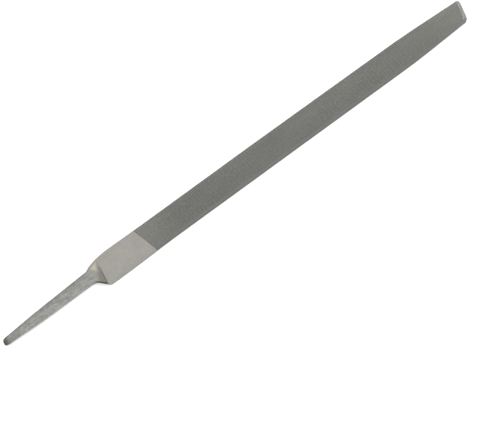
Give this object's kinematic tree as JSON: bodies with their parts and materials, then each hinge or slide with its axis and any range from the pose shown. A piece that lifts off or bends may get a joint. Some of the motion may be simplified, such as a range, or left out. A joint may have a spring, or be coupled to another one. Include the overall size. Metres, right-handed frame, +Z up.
{
  "type": "flat file",
  "caption": "Slim double-cut flat file for metal: bare tapered tang, sloped shoulders, smooth ground heel, and a toothed body that narrows to a blunt point.",
  "frame": {"origin": "on the resting plane, under the middle of the whole file from tang tip to point", "axes": "+X along the length towards the point, +Y across the width, +Z up through the thickness"},
  "size_m": [0.2572, 0.0138, 0.004],
  "materials": {
    "forged_steel": "forged and tumbled, dull grey with scale marks",
    "ground_steel": "fine ground satin",
    "cut_steel": "chisel-cut teeth, dark satin"
  },
  "bodies": {
    "root": {"tang": "forged_steel", "heel": "ground_steel", "cut_body": "cut_steel"}
  },
  "joints": []
}
